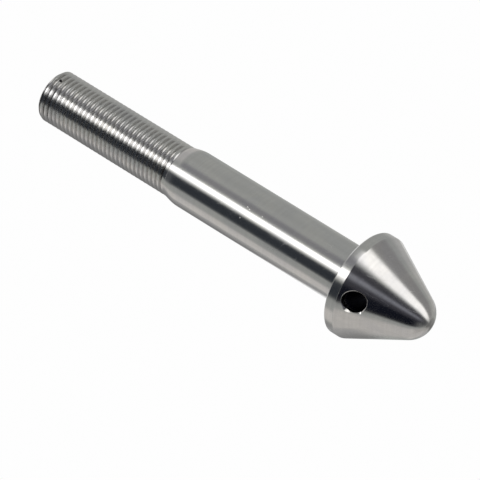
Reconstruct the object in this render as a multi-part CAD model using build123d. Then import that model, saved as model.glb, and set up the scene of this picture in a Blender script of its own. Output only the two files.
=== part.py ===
"""Hood latch pin: one turned piece, standing on its threaded end with the nose up (+Z), in mm."""

import os
from math import cos, pi, radians, sin, tan

from build123d import *

# Threaded end, for a 1/2-20 UNF thread
thread_dia = 12.6
thread_length = 38.4
end_chamfer = 0.75

# Shank
shank_step = 0.65  # how far the shank stands out of the thread's crests
taper_length = 2.7
taper_blend = 8.5  # radius where the taper runs into the shank

# Head
shoulder_height = 90.8
shoulder_corner = 0.4
rim_dia = 25.2
rim_band = 2.7
rim_edge_break = 0.4
cone_half_angle = 27.2
nose_radius = 6.0

# Cross hole through the cone, along Y
hole_dia = 5.0
hole_from_band = 3.3
hole_edge_break = 0.35

thread_radius = thread_dia / 2
shank_radius = thread_radius + shank_step
rim_radius = rim_dia / 2
taper_top = thread_length + taper_length
cone_start = shoulder_height + rim_band
hole_height = cone_start + hole_from_band

# The nose is a ball that the cone runs into without an edge
cone_slope = radians(cone_half_angle)
blend_radius = nose_radius * cos(cone_slope)
blend_height = cone_start + (rim_radius - blend_radius) / tan(cone_slope)
nose_centre = blend_height - nose_radius * sin(cone_slope)
tip_height = nose_centre + nose_radius


def turned_blank():
    """The pin as it leaves the lathe: one half section, revolved."""
    with BuildSketch(Plane.XZ) as half:
        with BuildLine():
            Polyline(
                (0, tip_height),
                (0, 0),
                (thread_radius - end_chamfer, 0),
                (thread_radius, end_chamfer),
                (thread_radius, thread_length),
                (shank_radius, taper_top),
                (shank_radius, shoulder_height - shoulder_corner),
                (shank_radius + shoulder_corner, shoulder_height),
                (rim_radius - rim_edge_break, shoulder_height),
                (rim_radius, shoulder_height + rim_edge_break),
                (rim_radius, cone_start),
                (blend_radius, blend_height),
            )
            ThreePointArc(
                (blend_radius, blend_height),
                (nose_radius * sin(pi / 4), nose_centre + nose_radius * cos(pi / 4)),
                (0, tip_height),
            )
        make_face()
    blank = revolve(half.sketch, Axis.Z)
    corner = [e for e in blank.edges().filter_by(GeomType.CIRCLE) if abs(e.center().Z - taper_top) < 0.01]
    return fillet(corner, taper_blend)


def drilled(blank):
    """The blank with the cross hole, and an even break round both of its mouths on the cone."""
    drill = Pos(0, 0, hole_height) * Rot(90, 0, 0) * Cylinder(hole_dia / 2, rim_dia)
    bored = blank - drill
    mouths = [e for e in bored.edges() if e.geom_type == GeomType.BSPLINE]
    return chamfer(mouths, hole_edge_break)


pin = drilled(turned_blank())
assert pin.is_valid and len(pin.solids()) == 1

os.makedirs("parts", exist_ok=True)
export_step(pin, "parts/latch_pin.step")
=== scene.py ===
from math import atan2, ceil, cos, degrees, exp, hypot, pi, radians, sin, sqrt, tan

import bmesh
import bpy
from mathutils import Matrix, Vector


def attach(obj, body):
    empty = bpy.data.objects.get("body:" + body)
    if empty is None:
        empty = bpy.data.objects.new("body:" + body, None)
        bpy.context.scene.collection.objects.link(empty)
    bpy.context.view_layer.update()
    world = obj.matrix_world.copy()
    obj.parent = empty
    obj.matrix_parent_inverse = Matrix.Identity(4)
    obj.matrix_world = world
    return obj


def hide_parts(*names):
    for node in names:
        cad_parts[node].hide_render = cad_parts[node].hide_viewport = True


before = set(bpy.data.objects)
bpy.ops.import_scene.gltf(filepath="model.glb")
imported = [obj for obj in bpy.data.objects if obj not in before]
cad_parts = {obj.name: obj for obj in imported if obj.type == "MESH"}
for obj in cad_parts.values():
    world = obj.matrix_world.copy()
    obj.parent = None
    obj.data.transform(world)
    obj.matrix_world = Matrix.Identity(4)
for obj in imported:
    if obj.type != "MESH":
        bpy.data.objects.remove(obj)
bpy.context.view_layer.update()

bpy.context.scene.view_settings.view_transform = "Standard"

# Sizes of the pin in mm, as in its solid
THREAD_R = 6.3
THREAD_TOP = 38.4
END_CHAMFER = 0.75
SHANK_R = 6.95
TAPER_TOP = 41.1
SHOULDER_Z = 90.8
CORNER_R = 0.4
RIM_R = 12.6
RIM_BREAK = 0.4
CONE_Z = 93.5
CONE_ANGLE = radians(27.2)
NOSE_R = 6.0
BORE_R = 2.5
BORE_Z = 96.8

# The ball nose, which the cone runs into without an edge
BLEND_R = NOSE_R * cos(CONE_ANGLE)
BLEND_Z = CONE_Z + (RIM_R - BLEND_R) / tan(CONE_ANGLE)
NOSE_Z = BLEND_Z - NOSE_R * sin(CONE_ANGLE)

# How far the edges are eased, in mm
TAPER_EASE = 1.0
RIM_EASE = 0.1
CONE_EASE = 0.14

# The break round the bore's mouths, filed by hand: its width in mm and its slope, then the spots where the
# file went differently. Each says where it lies, in degrees from +X towards +Z, how far it spreads, and how
# much wider and steeper the break is there.
BREAK = 0.13
STEEP = 1.06
FILED = [
    (202, 16, 0.34, 0.27),
    (137, 16, 0.27, -0.15),
    (60, 38, 0.19, -0.06),
    (280, 55, -0.065, 0.0),
]

# The 1/2-20 thread: right-handed, 60 degree flanks, rounded roots, flat crests
PITCH = 1.27
ROOT_ROUND = 0.12 * PITCH
CREST_HALF = 0.16 * PITCH
HALF_FLANK = radians(30)
GROOVE_OVER_X = 0.247  # how high a groove's middle is over +X
FULL_DEPTH_TO = 37.9
RUN_OUT = 0.6 * PITCH
SHARP_R = THREAD_R - (PITCH / 2 - CREST_HALF) / tan(HALF_FLANK)
ROOT_CENTRE_R = SHARP_R + ROOT_ROUND / sin(HALF_FLANK)
ROOT_EDGE = ROOT_ROUND * cos(HALF_FLANK)
ROOT_R = ROOT_CENTRE_R - ROOT_ROUND

# The threaded end and the body are made apart, and joined over a short stretch of the taper
THREAD_END_TO = 39.7
BODY_FROM = THREAD_END_TO + 0.2

# How finely each piece is divided
TURN_STEPS = 144
HEAD_STEPS = 288
BORE_STEPS = 144
NOSE_STEPS = 14
CONE_CUTS = 26
CHAMFER_CUTS = 5

# Corners closer than this are one, and a corner this near to a place is at it, in mm
MERGED = 1e-4
NEAR = 1e-3

# An edge that turns by more than this many degrees stays sharp
SHARP_THREAD = 35
SHARP_BODY = 11.6

MM = 0.001


def everything(bm):
    return bm.verts[:] + bm.edges[:] + bm.faces[:]


def open_rim(bm):
    return [e for e in bm.edges if e.is_boundary]


def spun(bm, geom, centre, axis, angle, steps, rise=0.0, closed=False):
    """Spins the geometry about an axis, rising at each step. With closed, the last step meets the first."""
    bmesh.ops.spin(
        bm, geom=geom, cent=centre, axis=axis, dvec=(0, 0, rise), angle=angle, steps=steps,
        use_merge=closed, use_normal_flip=False, use_duplicate=False,
    )


def cut_level(bm, z, drop_below=False, drop_above=False):
    """A ring of edges at one height. What lies below or above it is dropped where that is asked."""
    bmesh.ops.bisect_plane(
        bm, geom=everything(bm), dist=1e-5, plane_co=(0, 0, z), plane_no=(0, 0, 1),
        clear_inner=drop_below, clear_outer=drop_above,
    )


def mesh_of(bm, name):
    mesh = bpy.data.meshes.new(name)
    bm.to_mesh(mesh)
    bm.free()
    return mesh


def put_out(name, mesh):
    """The mesh as an object of the scene, at the origin."""
    made = bpy.data.objects.new(name, mesh)
    bpy.context.scene.collection.objects.link(made)
    return made


# The threaded end


def groove_radius(s):
    """Radius of the thread's surface at a distance s along the pin from the middle of its groove."""
    s = abs(s)
    if s < ROOT_EDGE:
        return ROOT_CENTRE_R - sqrt(ROOT_ROUND**2 - s * s)
    return SHARP_R + s / tan(HALF_FLANK)


def plain_radius(z):
    """Radius of the blank before the thread is cut: end chamfer, crest, then the taper up to the shank."""
    if z < END_CHAMFER:
        return THREAD_R - END_CHAMFER + z
    if z < THREAD_TOP:
        return THREAD_R
    return THREAD_R + (SHANK_R - THREAD_R) * min(1.0, (z - THREAD_TOP) / (TAPER_TOP - THREAD_TOP))


def thread_radius(z, angle):
    """Radius at a point of the threaded end. The tool backs out of the groove over the last part of a turn."""
    here = (z - GROOVE_OVER_X) / PITCH - angle / (2 * pi)
    s = (here - round(here)) * PITCH
    lift = max(0.0, z - s - FULL_DEPTH_TO) / RUN_OUT * (THREAD_R - ROOT_R)
    return min(plain_radius(z), groove_radius(s) + lift)


def threaded_end(bm):
    """One groove's section, spun up the pin as a helix, then trimmed to the blank."""
    flank = [ROOT_EDGE + (PITCH / 2 - CREST_HALF - ROOT_EDGE) * k / 3 for k in (1, 2, 3)]
    half = [ROOT_EDGE * 0.5, ROOT_EDGE] + flank + [PITCH / 2]
    rows = [-s for s in reversed(half)] + [0.0] + half
    start = GROOVE_OVER_X - PITCH
    made = [bm.verts.new((THREAD_R, 0, start + s)) for s in rows]
    edges = [bm.edges.new(pair) for pair in zip(made, made[1:])]
    spun(bm, made + edges, (0, 0, 0), (0, 0, 1), 2 * pi, TURN_STEPS, rise=PITCH / TURN_STEPS)

    one_turn = everything(bm)
    for k in range(1, ceil((THREAD_END_TO - start) / PITCH + 1.5)):
        copy = bmesh.ops.duplicate(bm, geom=one_turn)["geom"]
        higher = [g for g in copy if isinstance(g, bmesh.types.BMVert)]
        bmesh.ops.translate(bm, vec=(0, 0, k * PITCH), verts=higher)
    bmesh.ops.remove_doubles(bm, verts=bm.verts, dist=MERGED)

    cut_level(bm, 0, drop_below=True)
    cut_level(bm, THREAD_END_TO, drop_above=True)
    cut_level(bm, THREAD_TOP)
    for k in range(1, CHAMFER_CUTS + 1):
        cut_level(bm, END_CHAMFER * k / CHAMFER_CUTS)
    for v in bm.verts:
        angle = atan2(v.co.y, v.co.x)
        r = thread_radius(v.co.z, angle)
        v.co.x, v.co.y = r * cos(angle), r * sin(angle)
    foot = [e for e in open_rim(bm) if all(abs(v.co.z) < MERGED for v in e.verts)]
    bmesh.ops.contextual_create(bm, geom=foot)


# Shank and head


def plain_body(bm):
    """Shank, shouldered head, cone and ball nose: half a section, spun once round."""
    corners = [
        (plain_radius(BODY_FROM), BODY_FROM),
        (SHANK_R, TAPER_TOP),
        (SHANK_R, SHOULDER_Z),
        (RIM_R - RIM_BREAK, SHOULDER_Z),
        (RIM_R, SHOULDER_Z + RIM_BREAK),
        (RIM_R, CONE_Z),
        (BLEND_R, BLEND_Z),
    ]
    made = [bm.verts.new((r, 0, z)) for r, z in corners]
    edges = [bm.edges.new(pair) for pair in zip(made, made[1:])]
    bmesh.ops.subdivide_edges(bm, edges=[edges[-1]], cuts=CONE_CUTS)
    top = max(bm.verts, key=lambda v: v.co.z)
    spun(bm, [top], (0, 0, NOSE_Z), (0, -1, 0), pi / 2 - CONE_ANGLE, NOSE_STEPS)
    spun(bm, bm.verts[:] + bm.edges[:], (0, 0, 0), (0, 0, 1), 2 * pi, HEAD_STEPS, closed=True)
    bmesh.ops.remove_doubles(bm, verts=bm.verts, dist=MERGED)
    bmesh.ops.contextual_create(bm, geom=open_rim(bm))
    bmesh.ops.recalc_face_normals(bm, faces=bm.faces)

    def ring(r, z):
        """The ring of edges at a radius and a height."""
        def on_it(v):
            return abs(v.co.z - z) < NEAR and abs(hypot(v.co.x, v.co.y) - r) < NEAR

        return [e for e in bm.edges if all(on_it(v) for v in e.verts)]

    for r, z, ease, segments in [
        (SHANK_R, TAPER_TOP, TAPER_EASE, 8),
        (SHANK_R, SHOULDER_Z, CORNER_R, 8),
        (RIM_R - RIM_BREAK, SHOULDER_Z, RIM_EASE, 4),
        (RIM_R, SHOULDER_Z + RIM_BREAK, RIM_EASE, 4),
        (RIM_R, CONE_Z, CONE_EASE, 3),
    ]:
        bmesh.ops.bevel(
            bm, geom=ring(r, z), offset=ease, offset_type="OFFSET", segments=segments, profile=0.5,
            affect="EDGES", material=-1,
        )


def filed(angle):
    """Width and slope of the break round the bore at an angle, with what the filed spots add there."""
    width, slope = BREAK, STEEP
    for at, spread, wider, steeper in FILED:
        off = (degrees(angle) - at + 180) % 360 - 180
        share = exp(-((off / spread) ** 2))
        width += wider * share
        slope += steeper * share
    return width, slope


def drill(bm):
    """The cross hole's cutter. It flares under the cone's surface, for a filed break round both mouths."""
    flared = 2.5  # how far the flare runs, in widths of the break, so that it comes out of the cone
    clear_of_pin = 16.0

    def surface(r, angle):
        """How far from the pin's axis the cone's surface lies, along Y, over a point of the bore."""
        x, z = r * cos(angle), BORE_Z + r * sin(angle)
        return sqrt((RIM_R - (z - CONE_Z) * tan(CONE_ANGLE)) ** 2 - x * x)

    def lip(angle):
        width, slope = filed(angle)
        return surface(BORE_R, angle) - slope * width

    def flare(angle):
        return lip(angle) + flared * (surface(BORE_R + filed(angle)[0], angle) - lip(angle))

    def end(angle):
        return clear_of_pin

    across = Matrix.Translation((0, 0, BORE_Z)) @ Matrix.Rotation(pi / 2, 4, "X")
    ring = bmesh.ops.create_circle(bm, cap_ends=False, radius=BORE_R, segments=BORE_STEPS, matrix=across)
    edges = list({e for v in ring["verts"] for e in v.link_edges})
    for grown, depth in [(0.0, lip), (flared, flare), (flared, end)]:
        out = bmesh.ops.extrude_edge_only(bm, edges=edges)["geom"]
        edges = [g for g in out if isinstance(g, bmesh.types.BMEdge)]
        for v in [g for g in out if isinstance(g, bmesh.types.BMVert)]:
            angle = atan2(v.co.z - BORE_Z, v.co.x)
            r = BORE_R + grown * filed(angle)[0]
            v.co = (r * cos(angle), depth(angle), BORE_Z + r * sin(angle))
    bmesh.ops.contextual_create(bm, geom=edges)
    bmesh.ops.mirror(bm, geom=everything(bm), matrix=Matrix.Identity(4), merge_dist=MERGED, axis="Y")
    bmesh.ops.remove_doubles(bm, verts=bm.verts, dist=MERGED)
    bmesh.ops.recalc_face_normals(bm, faces=bm.faces)


def modelled(name, maker):
    bm = bmesh.new()
    maker(bm)
    return put_out(name, mesh_of(bm, name))


def bored(body, cutter):
    """The body's mesh with the cutter taken out of it."""
    cut = body.modifiers.new("bore", "BOOLEAN")
    cut.object, cut.operation, cut.solver = cutter, "DIFFERENCE", "EXACT"
    mesh = bpy.data.meshes.new_from_object(body.evaluated_get(bpy.context.evaluated_depsgraph_get()))
    for o in (body, cutter):
        bpy.data.objects.remove(o)
    return mesh


def latch_pin():
    """The whole pin: the bored body joined to the threaded end, with its sharp edges marked, in metres."""
    upper = bored(modelled("upper", plain_body), modelled("drill", drill))
    bm = bmesh.new()
    threaded_end(bm)
    lower_rim = open_rim(bm)
    lower = set(bm.verts)
    bm.from_mesh(upper)

    def at_body_foot(piece):
        return all(abs(v.co.z - BODY_FROM) < NEAR for v in piece.verts)

    caps = [f for f in bm.faces if f.verts[0] not in lower and at_body_foot(f)]
    bmesh.ops.delete(bm, geom=caps, context="FACES_ONLY")
    upper_rim = [e for e in open_rim(bm) if at_body_foot(e)]
    bmesh.ops.bridge_loops(bm, edges=lower_rim + upper_rim)
    bmesh.ops.triangulate(bm, faces=[f for f in bm.faces if len(f.verts) > 4])
    bmesh.ops.recalc_face_normals(bm, faces=bm.faces)
    for f in bm.faces:
        f.smooth = True
    for e in bm.edges:
        on_thread = max(v.co.z for v in e.verts) < THREAD_END_TO - 10 * NEAR
        limit = SHARP_THREAD if on_thread else SHARP_BODY
        at_taper_foot = all(abs(v.co.z - THREAD_TOP) < NEAR for v in e.verts)
        e.smooth = degrees(e.calc_face_angle(0)) < limit and not at_taper_foot
    bmesh.ops.scale(bm, vec=(MM, MM, MM), verts=bm.verts)
    return put_out("turned_latch_pin", mesh_of(bm, "turned_latch_pin"))


# Finish


def put(tree, kind, plugs, **settings):
    """A shader node with its settings. Values or other nodes fill its sockets. Gives its outputs."""
    made = tree.nodes.new("ShaderNode" + kind)
    for name, value in settings.items():
        setattr(made, name, value)
    for socket, value in plugs.items():
        if isinstance(value, bpy.types.NodeSocket):
            tree.links.new(value, made.inputs[socket])
        else:
            made.inputs[socket].default_value = value
    return made.outputs


def calc(tree, operation, *values):
    return put(tree, "Math", dict(enumerate(values)), operation=operation)[0]


def ramp(tree, value, start, stop, low=0.0, high=1.0):
    """Eases from low at start to high at stop."""
    plugs = {"Value": value, "From Min": start, "From Max": stop, "To Min": low, "To Max": high}
    return put(tree, "MapRange", plugs, interpolation_type="SMOOTHSTEP")[0]


def blend(tree, share, first, second):
    return put(tree, "Mix", {0: share, 6: first, 7: second}, data_type="RGBA")[2]


def noise(tree, where, scale, detail, distortion=0.0, flat=False):
    """Cloudy noise. Its scale counts the grains in a metre."""
    plugs = {"Vector": where, "Scale": scale, "Detail": detail, "Distortion": distortion}
    return put(tree, "TexNoise", plugs, noise_dimensions="2D" if flat else "3D")["Fac"]


def far_off(tree, first, second):
    """How far a value is from another, either way."""
    return calc(tree, "ABSOLUTE", calc(tree, "SUBTRACT", first, second))


# Tones of the steel, of the darker steel deep in some grooves and in a speck, and the painted shade on the
# cross hole's wall
WARM_STEEL = (0.65, 0.638, 0.622, 1)
COOL_STEEL = (0.598, 0.592, 0.596, 1)
MARKED_STEEL = (0.5, 0.49, 0.48, 1)
RUBBED_STEEL = (0.51, 0.505, 0.5, 1)
DARKENED_STEEL = (0.035, 0.032, 0.036, 1)
PAINTED_BORE_SHADE = (0.006, 0.006, 0.03, 1)

# Roughness where nothing has marked the steel
POLISHED = 0.108

# Small nicks across the shank. Each says how high it is in mm and how far round in degrees, then half its
# size in the same two.
NICKS = [
    (60.9, 56.6, 0.26, 1.9),
    (61.6, 59.0, 0.2, 1.6),
    (60.6, 79.9, 0.28, 2.2),
    (65.3, 57.9, 0.14, 1.2),
]
SPECK_AT = (6.2 * MM * cos(radians(33.6)), 6.2 * MM * sin(radians(33.6)), 2.3 * MM)


def hairlines(tree, spot):
    """Hairline scratches, in patches: thin level lines of a skewed noise."""
    skewed = put(tree, "Mapping", {"Vector": spot, "Rotation": (0.5, 0.9, 0.3), "Scale": (420, 30, 160)})[0]
    lines = ramp(tree, far_off(tree, noise(tree, skewed, 1, 1), 0.56), 0.004, 0.0)
    return calc(tree, "MULTIPLY", lines, ramp(tree, noise(tree, spot, 260, 1), 0.52, 0.62))


def nicked(tree, z, angle):
    """Where the nicks are, fading out at their edges."""
    nicks = 0.0
    for height, turned, high, wide in NICKS:
        up_down = ramp(tree, far_off(tree, z, height * MM), high * MM, 0.4 * high * MM)
        round_it = ramp(tree, far_off(tree, angle, radians(turned)), radians(wide), radians(wide / 3))
        nicks = calc(tree, "MAXIMUM", calc(tree, "MULTIPLY", up_down, round_it), nicks)
    return nicks


def darkened_grooves_and_speck(tree, spot, radius, z, angle, cloudy):
    """Darker steel, ragged in depth: deep in the first grooves, mostly on one side, on one side of the last
    groove, and in a speck.
    """
    ragged = noise(tree, spot, 700, 2)
    depth = calc(tree, "MULTIPLY_ADD", ragged, 0.5 * MM, calc(tree, "SUBTRACT", radius, 0.25 * MM))
    deep = ramp(tree, depth, 6.05 * MM, 5.7 * MM)
    first = ramp(tree, calc(tree, "MULTIPLY_ADD", cloudy, 3.0 * MM, z), 6.6 * MM, 5.2 * MM, 0.0, 0.8)
    first = calc(tree, "MULTIPLY", first, ramp(tree, angle, radians(48), radians(60), 0.2, 1.0))
    last = calc(tree, "MULTIPLY", ramp(tree, z, 36.9 * MM, 37.4 * MM), ramp(tree, z, 38.4 * MM, 38.1 * MM))
    one_side = ramp(tree, far_off(tree, angle, radians(91)), radians(26), radians(12), 0.0, 0.9)
    last = calc(tree, "MULTIPLY", last, one_side)
    darkened = calc(tree, "MULTIPLY", deep, calc(tree, "MAXIMUM", first, last))
    off_speck = put(tree, "VectorMath", {0: spot, 1: SPECK_AT}, operation="DISTANCE")["Value"]
    return calc(tree, "MAXIMUM", darkened, ramp(tree, off_speck, 0.5 * MM, 0.3 * MM))


def bore_masks(tree, x, z, radius):
    """Where the cross hole's mouths are, and where its drilled wall gets painted shade, from a little way in.
    """
    across = put(tree, "CombineXYZ", {"X": x, "Z": z})[0]
    off_axis = put(tree, "VectorMath", {0: across, 1: (0, 0, BORE_Z * MM)}, operation="DISTANCE")["Value"]
    mouth = ramp(tree, off_axis, (BORE_R + 0.5) * MM, (BORE_R + 0.4) * MM)
    in_bore = ramp(tree, off_axis, (BORE_R + 0.02) * MM, (BORE_R + 0.01) * MM)
    skin = calc(tree, "MULTIPLY_ADD", z, -tan(CONE_ANGLE), (RIM_R + CONE_Z * tan(CONE_ANGLE)) * MM)
    well_in = ramp(tree, calc(tree, "SUBTRACT", skin, radius), 0.6 * MM, 2.2 * MM)
    return mouth, calc(tree, "MULTIPLY", in_bore, well_in)


def turned_stainless():
    """Bright lathe-turned stainless steel."""
    mat = bpy.data.materials.new("turned_stainless")
    mat.use_nodes = True
    tree = mat.node_tree
    shader = tree.nodes["Principled BSDF"]
    shader.inputs["Metallic"].default_value = 1.0

    spot = put(tree, "TexCoord", {})["Object"]
    x, y, z = put(tree, "SeparateXYZ", {0: spot})
    round_axis = put(tree, "CombineXYZ", {"X": x, "Y": y})[0]
    radius = put(tree, "VectorMath", {0: round_axis}, operation="LENGTH")["Value"]
    angle = calc(tree, "ARCTAN2", y, x)

    # Tool marks run round the pin, so they depend on radius and height alone
    section = put(tree, "CombineXYZ", {"X": radius, "Y": z})[0]
    fine = noise(tree, section, 9000, 2, flat=True)
    coarse = noise(tree, section, 1300, 4, flat=True)

    # Handling: faint lengthwise rubbing, cloudy smudges, hairline scratches, nicks. Then darker steel deep in
    # some grooves and in a speck
    long_way = put(tree, "Mapping", {"Vector": spot, "Scale": (700, 700, 14)})[0]
    rubbed = noise(tree, long_way, 1, 3)
    cloudy = noise(tree, spot, 130, 4, distortion=0.6)
    smudge = ramp(tree, cloudy, 0.48, 0.72)
    hairline = hairlines(tree, spot)
    nicks = nicked(tree, z, angle)
    darkened = darkened_grooves_and_speck(tree, spot, radius, z, angle, cloudy)

    # The drilled wall of the cross hole is duller, and from a little way in it is painted dark: painted shade
    # for the dark seen down the hole
    mouth, bore_shade_mask = bore_masks(tree, x, z, radius)

    tone = blend(tree, ramp(tree, cloudy, 0.35, 0.65), WARM_STEEL, COOL_STEEL)
    for share, colour in [
        (ramp(tree, coarse, 0.35, 0.65, 0.0, 0.2), MARKED_STEEL),
        (ramp(tree, rubbed, 0.35, 0.65, 0.0, 0.3), RUBBED_STEEL),
        (darkened, DARKENED_STEEL),
        (bore_shade_mask, PAINTED_BORE_SHADE),
    ]:
        tone = blend(tree, share, tone, colour)
    tree.links.new(tone, shader.inputs["Base Color"])

    rough = POLISHED
    for mark, more in [(coarse, 0.06), (rubbed, 0.05), (smudge, 0.035), (hairline, 0.12)]:
        rough = calc(tree, "MULTIPLY_ADD", mark, more, rough)
    for mark, least in [(nicks, 0.42), (mouth, 0.16), (calc(tree, "MAXIMUM", darkened, bore_shade_mask), 0.5)]:
        rough = calc(tree, "MAXIMUM", rough, calc(tree, "MULTIPLY", mark, least))
    tree.links.new(rough, shader.inputs["Roughness"])

    height = fine
    for mark, rise in [(coarse, 0.9), (hairline, -1.2), (nicks, -4.0)]:
        height = calc(tree, "MULTIPLY_ADD", mark, rise, height)
    bump = put(tree, "Bump", {"Strength": 0.3, "Distance": 0.01 * MM, "Height": height})["Normal"]
    tree.links.new(bump, shader.inputs["Normal"])
    return mat


pin = latch_pin()
pin.data.materials.append(turned_stainless())
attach(pin, "root")
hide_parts("latch_pin")


# The camera: a long lens, turned so that the pin lies across the picture

CAMERA_AT = Vector((0.387696, 0.882507, 0.553175))
AIM = Vector((-0.0054306, 0.0024258, 0.0600972))
ROLL = radians(121.7812)
SENSOR_WIDTH = 36
FOCAL_LENGTH = 363.7455

lens = bpy.data.cameras.new("camera")
lens.sensor_width = SENSOR_WIDTH
lens.lens = FOCAL_LENGTH
camera = put_out("camera", lens)
back = (CAMERA_AT - AIM).normalized()
turn = back.to_track_quat("Z", "Y").to_matrix().to_4x4() @ Matrix.Rotation(ROLL, 4, "Z")
camera.matrix_world = Matrix.Translation(CAMERA_AT) @ turn
bpy.context.scene.camera = camera


# The studio. The azimuth of the pin's side that faces the camera is where "round the pin" starts from.

CAMERA_SIDE = radians(65.93)
PIN_MIDDLE = Vector((0, 0, 0.056))
PANEL_CENTRE = Vector((0, 0, 0.06))
TO_CAMERA = (CAMERA_AT - PIN_MIDDLE).normalized()
PANEL_STEPS = 32
WHITE = (1.0, 1.0, 1.0)


def between(ends, share):
    return ends[0] + (ends[1] - ends[0]) * share


def mirrored(around, tilt):
    """Where the camera looks after a mirror on the pin, turned from the near side and tilted to the nose."""
    azimuth = CAMERA_SIDE + around
    n = Vector((cos(tilt) * cos(azimuth), cos(tilt) * sin(azimuth), sin(tilt)))
    return 2 * n.dot(TO_CAMERA) * n - TO_CAMERA


def soft_edges():
    """A mask shared by the panels and the ground. It fades out at each edge, over a share of the piece."""
    crisp = 0.0001  # a fade of no width at all would hide the piece
    group = bpy.data.node_groups.new("soft_edges", "ShaderNodeTree")
    for name in ("Left", "Right", "Foot", "Top"):
        group.interface.new_socket(name, in_out="INPUT", socket_type="NodeSocketFloat")
    group.interface.new_socket("Mask", in_out="OUTPUT", socket_type="NodeSocketFloat")
    fades = group.nodes.new("NodeGroupInput").outputs
    x, y, _ = put(group, "SeparateXYZ", {0: put(group, "UVMap", {}, uv_map="panel")[0]})
    mask = 1.0
    for place, near, far in ((x, "Left", "Right"), (y, "Foot", "Top")):
        first = ramp(group, place, 0.0, calc(group, "MAXIMUM", fades[near], crisp))
        last = calc(group, "SUBTRACT", 1.0, calc(group, "MAXIMUM", fades[far], crisp))
        mask = calc(group, "MULTIPLY", mask, calc(group, "MULTIPLY", first, ramp(group, place, 1.0, last)))
    group.links.new(mask, group.nodes.new("NodeGroupOutput").inputs["Mask"])
    return group


SOFT_EDGES = soft_edges()


def bare(name):
    """A material with nothing on it yet. Gives it and its tree."""
    mat = bpy.data.materials.new(name)
    mat.use_nodes = True
    mat.node_tree.nodes.remove(mat.node_tree.nodes["Principled BSDF"])
    return mat, mat.node_tree


def glow(tree, colour, strength):
    return put(tree, "Emission", {"Color": (*colour, 1), "Strength": strength})[0]


def faded(tree, light, soft):
    """The light, clear towards its piece's edges: left and right, then foot and top."""
    (left, right), (foot, top) = soft
    fades = {"Left": left, "Right": right, "Foot": foot, "Top": top}
    mask = put(tree, "Group", fades, node_tree=SOFT_EDGES)["Mask"]
    clear = put(tree, "BsdfTransparent", {})[0]
    return put(tree, "MixShader", {0: mask, 1: clear, 2: light})[0]


def show(tree, surface):
    tree.links.new(surface, tree.nodes["Material Output"].inputs["Surface"])


def only_in_the_metal(made):
    """The camera doesn't see the piece, and it throws no shadow."""
    made.visible_camera = False
    made.visible_shadow = False
    return made


def panel(name, around, tilt, reach, colour, strength, soft):
    """A studio panel, bent so that it shows on the pin over the given degrees round it and of tilt."""
    bm = bmesh.new()
    bm.loops.layers.uv.new("panel")
    bmesh.ops.create_grid(bm, x_segments=PANEL_STEPS, y_segments=PANEL_STEPS, size=0.5, calc_uvs=True)
    for v in bm.verts:
        a = radians(between(around, v.co.x + 0.5))
        b = radians(between(tilt, v.co.y + 0.5))
        v.co = PANEL_CENTRE + reach * mirrored(a, b)
    made = only_in_the_metal(put_out(name, mesh_of(bm, name)))
    mat, tree = bare(name)
    show(tree, faded(tree, glow(tree, colour, strength), soft))
    made.data.materials.append(mat)


# Each panel: its stretch round the pin and its tilts in degrees, how far off it stands in metres, its colour
# and strength, and how wide its edges fade
panel("key_softbox", (-38.8, -14.2), (17, 84), 1.90, (1.0, 0.99, 0.975), 1.56, ((0.25, 0.25), (0.06, 0.42)))
panel("key_foot", (-31.5, -16), (-0.5, 20), 1.91, (1.0, 0.99, 0.975), 1.75, ((0.25, 0.3), (0.42, 0.1)))
panel("side_softbox", (-5.5, 9.4), (-70, 19), 1.92, (1.0, 0.997, 0.985), 2.7, ((0.26, 0.5), (0.3, 0.04)))
panel("small_card", (-4.6, 4.8), (17, 66), 1.94, (0.94, 0.96, 1.08), 0.32, ((0.3, 0.5), (0.05, 0.4)))
panel("dark_card", (-14.5, 13), (11.5, 86), 2.04, (0.93, 0.93, 1.12), 0.055, ((0.08, 0.08), (0.02, 0.46)))
panel("black_card", (9.0, 32.6), (13, 86), 2.02, (0.7, 0.85, 1.5), 0.010, ((0.12, 0.16), (0.04, 0.62)))
panel("low_black_card", (9.5, 32.5), (-20, 13.5), 2.03, (0.86, 0.99, 1.2), 0.045, ((0.1, 0.22), (0.42, 0.08)))
panel("low_dim_card", (8.0, 36), (-40, -4), 2.07, (0.95, 1.0, 1.06), 0.15, ((0.15, 0.3), (0.2, 0.2)))
panel("warm_card", (36, 88), (13, 88), 2.10, (1.03, 1.0, 0.965), 0.63, ((0.12, 0.42), (0.04, 0.3)))
panel("low_nose_card", (60, 93), (30, 73), 2.085, (1.03, 1.0, 0.965), 0.66, ((0.5, 0.2), (0.3, 0.2)))
panel("warm_dip_card", (35, 61), (48, 80), 2.095, (1.03, 1.0, 0.965), 0.5, ((0.3, 0.3), (0.35, 0.35)))
panel("low_warm_card", (40.5, 63.5), (-60, 13.5), 2.09, (1.03, 1.0, 0.965), 0.70, ((0.28, 0.3), (0.2, 0.04)))
panel("low_grey_card", (61, 84), (-60, 13.5), 2.12, (1.0, 1.0, 0.985), 0.36, ((0.2, 0.2), (0.2, 0.04)))
panel("low_white_card", (77, 89.5), (-60, 12), 2.11, (1.0, 1.0, 0.985), 0.82, ((0.35, 0.15), (0.2, 0.2)))
panel("dip_card", (-22, -7), (-10, 10), 2.12, (0.98, 0.98, 1.03), 0.31, ((0.4, 0.2), (0.2, 0.04)))
panel("low_pale_card", (-92, -8), (-26, -7), 2.13, (1.02, 1.0, 0.98), 0.6, ((0.1, 0.2), (0.25, 0.3)))
panel("rear_card", (-66, 66), (-64, -27), 2.06, (1.0, 1.0, 0.99), 1.0, ((0.15, 0.15), (0.2, 0.2)))
panel("grey_card", (-64, -37), (13, 80), 2.12, (1.0, 0.99, 0.985), 0.33, ((0.25, 0.1), (0.04, 0.2)))
panel("back_card", (-100, -66), (-8, 72), 2.14, (1.0, 1.0, 0.975), 0.54, ((0.0, 0.35), (0.25, 0.2)))
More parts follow.
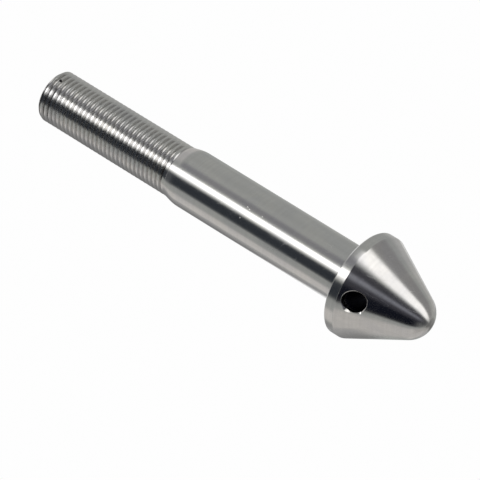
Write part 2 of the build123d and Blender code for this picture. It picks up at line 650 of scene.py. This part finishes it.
panel("tip_card", (-180, 180), (71, 90), 2.16, (1.0, 1.0, 0.98), 0.20, ((0.0, 0.0), (0.5, 0.0)))
panel("nose_card", (-24, 36), (58, 80), 2.135, (0.98, 1.0, 1.0), 0.16, ((0.25, 0.45), (0.35, 0.35)))
panel("tip_side_card", (-150, -45), (71, 90), 2.13, (1.0, 1.0, 0.98), 0.31, ((0.3, 0.35), (0.4, 0.0)))
panel("tip_glow", (44, 135), (54, 90), 2.105, (1.02, 1.0, 0.975), 0.54, ((0.45, 0.3), (0.3, 0.25)))

# The ground under the lying pin, in mm: which way it is from the axis, how far off at the threaded end, and
# how much further per mm towards the head, because the pin rests on its thread and its rim
GROUND_SIDE = CAMERA_SIDE + radians(152.5)
GROUND_OFF = 6.35
GROUND_SLANT = 0.0685

# How strongly the ground shines, and the places in mm out from under the pin where that changes
UNLIT = 0.25
LIT_BY_SHANK = 0.74  # on top of the unlit ground's
LIT_PER_MM = 0.04  # more, for each mm past the pin's side
LIT_BY_HEAD = 0.46
PIN_SIDE = 7.0
OPEN_GROUND = 18.0

# The light's edge slants across the ground: where it is, and how much further out it lies per mm to the head
LIGHT_EDGE_OUT = 3.2
LIGHT_EDGE_UP = 52.0
LIGHT_EDGE_SLANT = 0.172
LIGHT_EDGE_SOFT = 2.4

# Heights in mm over which the light comes in past the thread, and goes into the head's shade
LIGHT_COMES_IN = (40.0, 66.0)
LIGHT_GOES_OUT = (82.0, 90.0)


def ground_sheet(bm, aside, along):
    """A stretch of the ground under the pin as the camera sees it lie, on its thread and its rim."""
    down = Vector((cos(GROUND_SIDE), sin(GROUND_SIDE), 0))
    across = Vector((sin(GROUND_SIDE), -cos(GROUND_SIDE), 0))
    grid = bmesh.ops.create_grid(bm, x_segments=8, y_segments=24, size=0.5, calc_uvs=True)["verts"]
    for v in grid:
        out = between(aside, v.co.x + 0.5)
        up = between(along, v.co.y + 0.5)
        v.co = MM * (out * across + (GROUND_OFF + GROUND_SLANT * up) * down + Vector((0, 0, up)))
    return {f for v in grid for f in v.link_faces}


def shaded_glow(name, aside, along, soft, shade):
    """The glow of a stretch of ground, as strong as the pin's shade leaves it at each place in mm."""
    mat, tree = bare(name)
    x, y, _ = put(tree, "SeparateXYZ", {0: put(tree, "UVMap", {}, uv_map="panel")[0]})
    out = calc(tree, "MULTIPLY_ADD", x, aside[1] - aside[0], aside[0])
    up = calc(tree, "MULTIPLY_ADD", y, along[1] - along[0], along[0])
    show(tree, faded(tree, glow(tree, WHITE, shade(tree, out, up)), soft))
    return mat


def ground(stretches):
    """The ground right under the lying pin. Only the metal shows it."""
    bm = bmesh.new()
    bm.loops.layers.uv.new("panel")
    mats = []
    for k, (name, aside, along, soft, shade) in enumerate(stretches):
        for f in ground_sheet(bm, aside, along):
            f.material_index = k
        mats.append(shaded_glow(name, aside, along, soft, shade))
    made = only_in_the_metal(put_out("ground", mesh_of(bm, "ground")))
    for mat in mats:
        made.data.materials.append(mat)
    return made


def shank_shade(tree, out, up):
    """Dark under the thread. Light comes in where the shank is clear of the ground, up to the head's shade."""
    edge_at_end = LIGHT_EDGE_OUT - LIGHT_EDGE_SLANT * LIGHT_EDGE_UP
    reach = calc(tree, "MULTIPLY_ADD", up, LIGHT_EDGE_SLANT, edge_at_end)
    inside = calc(tree, "SUBTRACT", reach, out)
    lit = ramp(tree, inside, -LIGHT_EDGE_SOFT, LIGHT_EDGE_SOFT, 0.0, LIT_BY_SHANK)
    lit = calc(tree, "MULTIPLY", lit, ramp(tree, up, *LIGHT_GOES_OUT, 1.0, 0.0))
    lit = calc(tree, "MULTIPLY", lit, ramp(tree, up, *LIGHT_COMES_IN, 0.0, 1.0))
    past_pin = calc(tree, "MAXIMUM", calc(tree, "SUBTRACT", out, PIN_SIDE), 0.0)
    return calc(tree, "ADD", lit, calc(tree, "MULTIPLY_ADD", past_pin, LIT_PER_MM, UNLIT))


def head_shade(tree, out, up):
    """Dark under the rim, lighter further out."""
    return ramp(tree, out, PIN_SIDE, OPEN_GROUND, UNLIT, LIT_BY_HEAD)


ground([
    ("ground_by_shank", (-8.0, 14.0), (-14.0, 90.0), ((0.36, 0.12), (0.1, 0.03)), shank_shade),
    ("ground_by_head", (5.0, 21.0), (87.0, 103.0), ((0.1, 0.25), (0.12, 0.4)), head_shade),
])


def pale_floor():
    """An evenly lit floor, clear from below so that the pin's end can be seen."""
    mat, tree = bare("pale_floor")
    from_below = put(tree, "NewGeometry", {})["Backfacing"]
    clear = put(tree, "BsdfTransparent", {})[0]
    show(tree, put(tree, "MixShader", {0: from_below, 1: glow(tree, WHITE, 0.99), 2: clear})[0])
    return mat


FLOOR_R = 6.0
JUST_UNDER_PIN = Matrix.Translation((0, 0, -0.2 * MM))


def floor_disc(bm):
    bmesh.ops.create_circle(bm, cap_ends=True, radius=FLOOR_R, segments=96, matrix=JUST_UNDER_PIN)


floor = modelled("floor", floor_disc)
floor.data.materials.append(pale_floor())
floor.visible_glossy = False


# The room that the metal sees, and the backdrop that the camera sees
ROOM = (0.435, 0.447, 0.432, 1)
BACKDROP = (0.99, 0.99, 0.99, 1)

world = bpy.data.worlds.new("studio")
bpy.context.scene.world = world
world.use_nodes = True
tree = world.node_tree
seen = put(tree, "LightPath", {})["Is Camera Ray"]
tree.links.new(blend(tree, seen, ROOM, BACKDROP), tree.nodes["Background"].inputs["Color"])
